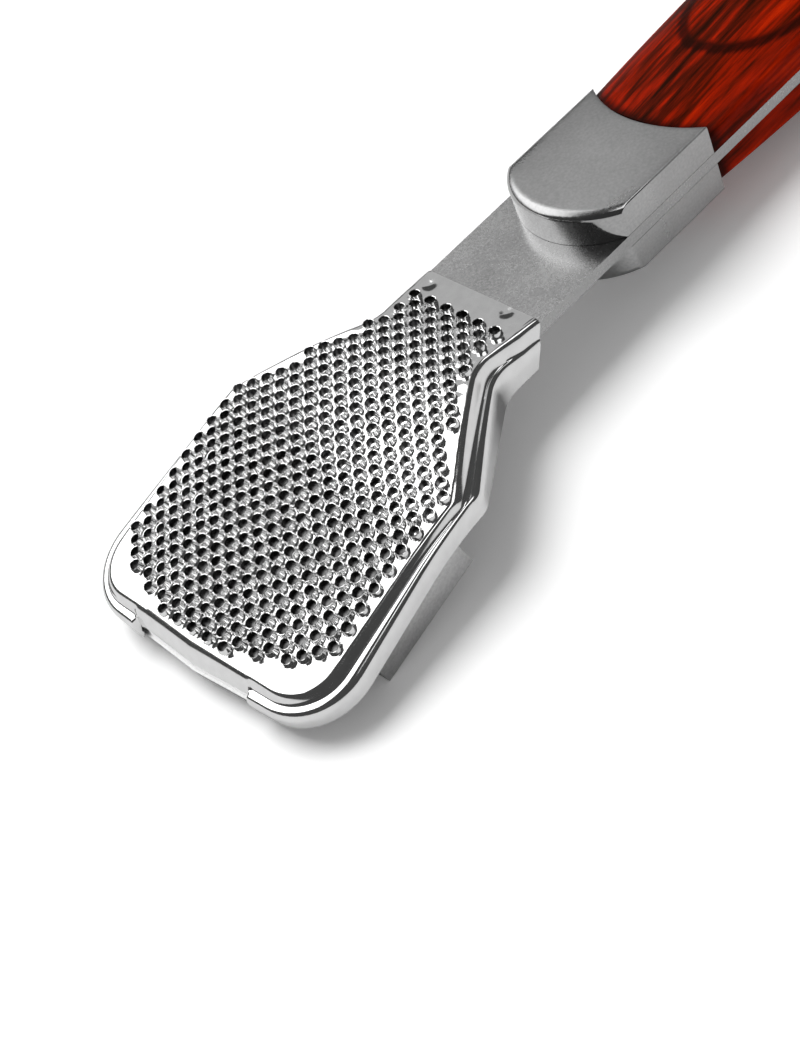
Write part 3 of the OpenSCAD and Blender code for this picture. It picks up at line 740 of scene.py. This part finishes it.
def one_tooth(materials):
    """A punched tooth: a drawn foot, a thin wall with a sharp rim, and a pit painted dark as shade."""
    radius, height = TOOTH_FOOT
    bpy.ops.object.select_all(action="DESELECT")
    bpy.ops.mesh.primitive_circle_add(
        vertices=TOOTH_SIDES, radius=radius * MM, fill_type="NOTHING"
    )
    tooth = bpy.context.object
    tooth.data.transform(Matrix.Translation((0, 0, height * MM)))
    bpy.ops.object.mode_set(mode="EDIT")
    bpy.ops.mesh.select_all(action="SELECT")
    for r, z in TOOTH_RINGS:
        bpy.ops.mesh.extrude_edges_move(
            TRANSFORM_OT_translate={"value": (0, 0, (z - height) * MM)}
        )
        bpy.ops.transform.resize(
            value=(r / radius, r / radius, 1), center_override=(0, 0, z * MM)
        )
        radius, height = r, z
    bpy.ops.mesh.edge_face_add()
    bpy.ops.mesh.select_all(action="SELECT")
    bpy.ops.mesh.normals_make_consistent(inside=False)
    bpy.ops.object.mode_set(mode="OBJECT")
    for material in materials:
        tooth.data.materials.append(material)
    # The deep faces of the pit take the second material, painted shade
    for face in tooth.data.polygons:
        low = face.center.z < SHADED_PIT_H and face.center.xy.length < SHADED_PIT_R
        face.material_index = 1 if low else 0
    return tooth


class SHAVER_OT_rasp_cover(bpy.types.Operator):
    """Builds the punched cover with its rolled rim and its teeth"""

    bl_idname = "shaver.rasp_cover"
    bl_label = "Rasp Cover"

    def execute(self, context):
        form = HeadForm(context.scene.shaver_head)
        # The second material is painted shade for the pits of the teeth
        materials = (polished_steel("polished_cover", 0.88, 0.08), tooth_pit("tooth_pit"))
        cover = laid_grid("punched_cover", list(sheet_rows(form)))
        front = laid_grid("front_border", list(front_rows(form)))
        select_only(cover, front)
        bpy.ops.object.join()
        close_up(cover)
        top = max(cover.data.polygons, key=lambda face: face.center.z)
        if top.normal.z < 0:
            cover.data.flip_normals()
        sheet = cover.modifiers.new("sheet", "SOLIDIFY")
        sheet.thickness = form.s.sheet_t * 0.8
        sheet.offset = -1
        select_only(cover)
        bpy.ops.object.modifier_apply(modifier="sheet")
        for material in materials:
            cover.data.materials.append(material)
        tooth = one_tooth(materials)
        spread = random.Random(4)
        copies = [cover]
        for u, y in form.teeth():
            copy = tooth.copy()
            copy.data = tooth.data.copy()
            roll = Matrix.Rotation(spread.uniform(-TOOTH_LEAN, TOOTH_LEAN), 4, "X")
            pitch = Matrix.Rotation(spread.uniform(-TOOTH_LEAN, TOOTH_LEAN), 4, "Y")
            turn = Matrix.Rotation(spread.uniform(0, math.tau), 4, "Z")
            grown = Matrix.Scale(spread.uniform(*TOOTH_GROWN), 4)
            copy.data.transform(form.upright(u, y) @ roll @ pitch @ turn @ grown)
            context.collection.objects.link(copy)
            copies.append(copy)
        bpy.data.objects.remove(tooth)
        select_only(*copies)
        bpy.ops.object.join()
        hand_over(cover, "rasp_shell", COVER_SMOOTH)
        return {"FINISHED"}


# Blocks of the handle
# Shares of a rounded edge at which a block has points
EASED = (0, 0.03, 0.1, 0.21, 0.36, 0.56, 0.78, 1)
# Points between the rounded edges: across a block, along a bolster and along a scale
BLOCK_STEPS = 26
BOLSTER_STEPS = 24
SCALE_STEPS = 90
# Angle over which an edge of a cover or of a block stays sharp, in degrees
COVER_SMOOTH = 50
BLOCK_SMOOTH = 32


def stops_across(first, last, whole, steps):
    """Shares across a block, dense over the rounded edges at both ends."""
    head = [e * first / whole for e in EASED]
    tail = [1 - e * last / whole for e in reversed(EASED)]
    inner = [head[-1] + (tail[0] - head[-1]) * i / steps for i in range(1, steps)]
    return head + inner + tail


def rounded(room, r):
    """Drop of a rounded edge at a distance from it."""
    if room >= r:
        return 0.0
    return r - math.sqrt(max(0.0, r * r - (r - max(0.0, room)) ** 2))


def block(name, rows, base):
    """A grid on the top of a block, drawn down to its flat base."""
    item = laid_grid(name, rows)
    bpy.ops.object.mode_set(mode="EDIT")
    bpy.ops.mesh.select_all(action="SELECT")
    bpy.ops.mesh.extrude_region_move(TRANSFORM_OT_translate={"value": (0, 0, -20 * MM)})
    bpy.ops.transform.resize(value=(1, 1, 0), center_override=(0, 0, base))
    bpy.ops.object.mode_set(mode="OBJECT")
    close_up(item)
    return item


def below(item, name, blank_t):
    """The same piece on the lower face of the tang."""
    copy = item.copy()
    copy.data = item.data.copy()
    copy.name = name
    bpy.context.collection.objects.link(copy)
    copy.data.transform(
        Matrix.Translation((0, 0, -blank_t)) @ Matrix.Diagonal((1, 1, -1, 1))
    )
    copy.data.flip_normals()
    return copy


class SHAVER_OT_bolsters(bpy.types.Operator):
    """Builds the two bolsters with round noses and rounded shoulders"""

    bl_idname = "shaver.bolsters"
    bl_label = "Bolsters"

    def execute(self, context):
        s = context.scene.shaver_handle
        half = s.width / 2
        crown_r = (half**2 + s.bolster_crown**2) / s.bolster_crown / 2

        def top(x, y):
            """Place on the crowned top, drawn down at its rounded edges."""
            z = s.bolster_h - crown_r + math.sqrt(crown_r**2 - y * y)
            drops = [rounded(half + y, s.shoulder), rounded(half - y, s.near_edge)]
            if x > -s.nose_r:
                drops.append(rounded(s.nose_r - math.hypot(x + s.nose_r, y), s.nose_edge))
            hollow = math.hypot(x + s.bolster_l + s.hollow_r, y) - s.hollow_r
            drops.append(rounded(hollow, s.near_edge / 2))
            return Vector((x, y, z - max(drops)))

        across = stops_across(s.shoulder, s.near_edge, s.width, BLOCK_STEPS)
        along = stops_across(s.near_edge / 2, 1.8 * s.nose_edge, s.bolster_l, BOLSTER_STEPS)
        rows = []
        for b in along:
            row = []
            for a in across:
                y = s.width * a - half
                rear = -s.bolster_l - s.hollow_r + math.sqrt(s.hollow_r**2 - y * y)
                nose = -s.nose_r + math.sqrt(s.nose_r**2 - y * y)
                row.append(top(rear + (nose - rear) * b, y))
            rows.append(row)
        upper = block("upper_bolster_steel", rows, s.seat)
        upper.data.materials.append(satin_steel("bolster_steel", 0.48, nose_polish=0.22))
        lower = below(upper, "lower_bolster_steel", s.blank_t)
        hand_over(upper, "upper_bolster", BLOCK_SMOOTH)
        hand_over(lower, "lower_bolster", BLOCK_SMOOTH)
        return {"FINISHED"}


class SHAVER_OT_scales(bpy.types.Operator):
    """Builds the two swelled wooden scales, bored for their rivets"""

    bl_idname = "shaver.scales"
    bl_label = "Wooden Scales"

    def execute(self, context):
        s = context.scene.shaver_handle
        half = s.width / 2
        scale_l = s.handle_l - s.bolster_l
        swell_r = (scale_l**2 / 4 + s.swell**2) / s.swell / 2
        crown_r = (half**2 + s.scale_crown**2) / s.scale_crown / 2
        belly = -(s.handle_l + s.bolster_l) / 2
        filled_r = s.hollow_r - s.seat

        def butt(y):
            """End of the wood at the butt, with its round corners."""
            over = abs(y) - (half - s.butt_r)
            drop = s.butt_r - math.sqrt(max(0.0, s.butt_r**2 - over * over)) if over > 0 else 0
            return -s.handle_l + drop

        def top(x, y):
            """Place on the swelled and crowned top."""
            ring = swell_r - crown_r + math.sqrt(crown_r**2 - y * y)
            z = s.scale_h - swell_r + math.sqrt(ring * ring - (x - belly) ** 2)
            corner = Vector((-s.handle_l + s.butt_r - x, abs(y) - half + s.butt_r))
            if min(corner) > 0:
                side = s.butt_r - corner.length
            else:
                side = min(half - abs(y), x + s.handle_l)
            return Vector((x, y, z - rounded(side, s.wood_edge)))

        across = stops_across(s.wood_edge, s.wood_edge, s.width, BLOCK_STEPS)
        along = stops_across(1.5 * s.wood_edge, s.wood_edge, scale_l, SCALE_STEPS)
        rows = []
        for b in along:
            row = []
            for a in across:
                y = s.width * a - half
                front = -s.bolster_l - s.hollow_r + math.sqrt(filled_r**2 - y * y)
                row.append(top(butt(y) + (front - butt(y)) * b, y))
            rows.append(row)
        upper = block("upper_scale_wood", rows, s.seat)
        for i in range(2):
            bpy.ops.object.select_all(action="DESELECT")
            bpy.ops.mesh.primitive_cylinder_add(
                vertices=64,
                radius=s.rivet_d / 2,
                depth=40 * MM,
                location=(-s.handle_l + s.rivet_at + i * s.rivet_gap, 0, 0),
            )
            drill = context.object
            bore = upper.modifiers.new("bore", "BOOLEAN")
            bore.object = drill
            select_only(upper)
            bpy.ops.object.modifier_apply(modifier="bore")
            bpy.data.objects.remove(drill)
        upper.data.materials.append(dyed_wood("dyed_wood"))
        lower = below(upper, "lower_scale_wood", s.blank_t)
        hand_over(upper, "upper_scale", BLOCK_SMOOTH)
        hand_over(lower, "lower_scale", BLOCK_SMOOTH)
        return {"FINISHED"}


def dress(material, *nodes):
    """Gives solids their finish."""
    for node in nodes:
        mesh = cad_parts[node].data
        mesh.materials.clear()
        mesh.materials.append(material)


class SHAVER_OT_finishes(bpy.types.Operator):
    """Gives the pieces that keep their solids a finish"""

    bl_idname = "shaver.finishes"
    bl_label = "Finishes"

    def execute(self, context):
        dress(satin_steel("blank_steel", 0.46, 0.26), "tang_plate")
        dress(
            satin_steel("holder_steel", 0.72, 0.36, 0.15),
            "blade_carrier",
            "carrier_rivets",
            "clamp_plate",
            "clamp_studs",
            "bolster_pins",
        )
        dress(satin_steel("blade_steel", 0.74, 0.2), "blade")
        dress(turned_brass("brass"), "rivet_posts", "rivet_caps", "clamp_nuts")
        return {"FINISHED"}


# Stage
# Camera of the photo: place, turn, height of the picture and focal length in pixels
CAMERA_PLACE = (0.152651, 0.211188, 0.229911)
CAMERA_TURN = (0.715459, 0.340099, 2.345513)
PHOTO_H = 1055
FOCAL_PX = 2599.5
SENSOR_H = 24.0
# Point at which the lamps aim, on the head of the tool
LIT_POINT = (0.05, 0, 0.01)
# Lamps by their property: direction, distance, size, and whether mirrors see them
LAMPS = {
    "key": ((0.06, -0.38, 0.92), 0.75, (0.5, 0.5), False),
    "front": ((0.24, -0.62, 0.74), 0.6, (0.85, 0.62), True),
    "rear": ((-0.45, -0.62, 0.68), 0.6, (0.4, 0.4), True),
    "over": ((-0.29, 0.42, 0.86), 0.6, (0.45, 0.3), True),
}
# Side of the square table
TABLE_SIDE = 8


def add_camera():
    """Adds the camera of the photo."""
    data = bpy.data.cameras.new("photo_camera")
    data.sensor_fit = "VERTICAL"
    data.sensor_height = SENSOR_H
    data.lens = FOCAL_PX / PHOTO_H * SENSOR_H
    data.clip_start = 0.01
    data.clip_end = 20.0
    camera = bpy.data.objects.new("photo_camera", data)
    camera.location = CAMERA_PLACE
    camera.rotation_euler = CAMERA_TURN
    bpy.context.collection.objects.link(camera)
    bpy.context.scene.camera = camera


def add_softbox(name, watts, way, distance, size, mirrored):
    """An area lamp in a direction from the head, seen by matt surfaces alone or in mirrors alone."""
    data = bpy.data.lights.new(name, "AREA")
    data.shape = "RECTANGLE"
    data.size, data.size_y = size
    data.energy = watts
    lamp = bpy.data.objects.new(name, data)
    way = Vector(way).normalized()
    lamp.location = Vector(LIT_POINT) + way * distance
    lamp.rotation_euler = (-way).to_track_quat("-Z", "Y").to_euler()
    lamp.visible_glossy = mirrored
    lamp.visible_diffuse = not mirrored
    bpy.context.collection.objects.link(lamp)


def ray_tone(tree, seen_by, own, other):
    """A strength with its own value for one kind of ray and the other one for the rest."""
    path = tree.nodes.new("ShaderNodeLightPath")
    pick = tree.nodes.new("ShaderNodeMix")
    pick.data_type = "FLOAT"
    tree.links.new(path.outputs[seen_by], pick.inputs[0])
    for socket, value in ((pick.inputs[2], other), (pick.inputs[3], own)):
        if isinstance(value, bpy.types.NodeSocket):
            tree.links.new(value, socket)
        else:
            socket.default_value = value
    return pick.outputs[0]


def table_white():
    """White table: lifted to the white of the page for the camera, darker in the steel."""
    material = bpy.data.materials.new("table_white")
    material.use_nodes = True
    tree = material.node_tree
    tree.nodes.clear()
    out = tree.nodes.new("ShaderNodeOutputMaterial")
    matt = tree.nodes.new("ShaderNodeBsdfDiffuse")
    shade = ray_tone(tree, "Is Camera Ray", 1.0, ray_tone(tree, "Is Glossy Ray", 0.72, 0.8))
    tree.links.new(shade, matt.inputs["Color"])
    glow = tree.nodes.new("ShaderNodeEmission")
    lift = ray_tone(tree, "Is Camera Ray", 0.1, 0.0)
    tree.links.new(lift, glow.inputs["Strength"])
    both = tree.nodes.new("ShaderNodeAddShader")
    tree.links.new(matt.outputs[0], both.inputs[0])
    tree.links.new(glow.outputs[0], both.inputs[1])
    tree.links.new(both.outputs[0], out.inputs["Surface"])
    return material


def white_room(light):
    """White to the camera, plain light on matt surfaces, and dark in the steel."""
    world = bpy.data.worlds.new("white_room")
    bpy.context.scene.world = world
    world.use_nodes = True
    tree = world.node_tree
    back = tree.nodes["Background"]
    back.inputs["Color"].default_value = grey(1.0)
    room = ray_tone(tree, "Is Glossy Ray", light.mirrored, light.room)
    tree.links.new(ray_tone(tree, "Is Camera Ray", 1.0, room), back.inputs["Strength"])


class SHAVER_OT_stage(bpy.types.Operator):
    """Adds the table, the light and the camera"""

    bl_idname = "shaver.stage"
    bl_label = "Stage"

    def execute(self, context):
        light = context.scene.shaver_light
        context.scene.view_settings.view_transform = "Standard"
        bpy.ops.object.select_all(action="DESELECT")
        bpy.ops.mesh.primitive_plane_add(size=TABLE_SIDE)
        table = context.object
        table.name = "table"
        table.data.materials.append(table_white())
        white_room(light)
        for name, settings in LAMPS.items():
            add_softbox(name + "_light", getattr(light, name), *settings)
        add_camera()
        return {"FINISHED"}


OPERATORS = (
    SHAVER_OT_finishes,
    SHAVER_OT_rasp_cover,
    SHAVER_OT_bolsters,
    SHAVER_OT_scales,
    SHAVER_OT_stage,
)


class SHAVER_PT_panel(bpy.types.Panel):
    """Sizes and steps of the callus shaver"""

    bl_idname = "SHAVER_PT_panel"
    bl_label = "Callus Shaver"
    bl_space_type = "VIEW_3D"
    bl_region_type = "UI"
    bl_category = "Shaver"

    def draw(self, context):
        for name, group in GROUPS.items():
            box = self.layout.box()
            for key in group.__annotations__:
                box.prop(getattr(context.scene, name), key)
        for operator in OPERATORS:
            self.layout.operator(operator.bl_idname)


def register():
    """Registers the property groups, the operators and the panel."""
    for name, group in GROUPS.items():
        bpy.utils.register_class(group)
        setattr(bpy.types.Scene, name, bpy.props.PointerProperty(type=group))
    for item in (*OPERATORS, SHAVER_PT_panel):
        bpy.utils.register_class(item)


def unregister():
    """Undoes what register did, in reverse order."""
    for item in (SHAVER_PT_panel, *reversed(OPERATORS)):
        bpy.utils.unregister_class(item)
    for name, group in GROUPS.items():
        delattr(bpy.types.Scene, name)
        bpy.utils.unregister_class(group)


def main():
    """Builds the tool and its stage."""
    register()
    bpy.ops.shaver.finishes()
    bpy.ops.shaver.rasp_cover()
    bpy.ops.shaver.bolsters()
    bpy.ops.shaver.scales()
    bpy.ops.shaver.stage()


if __name__ == "__main__":
    main()
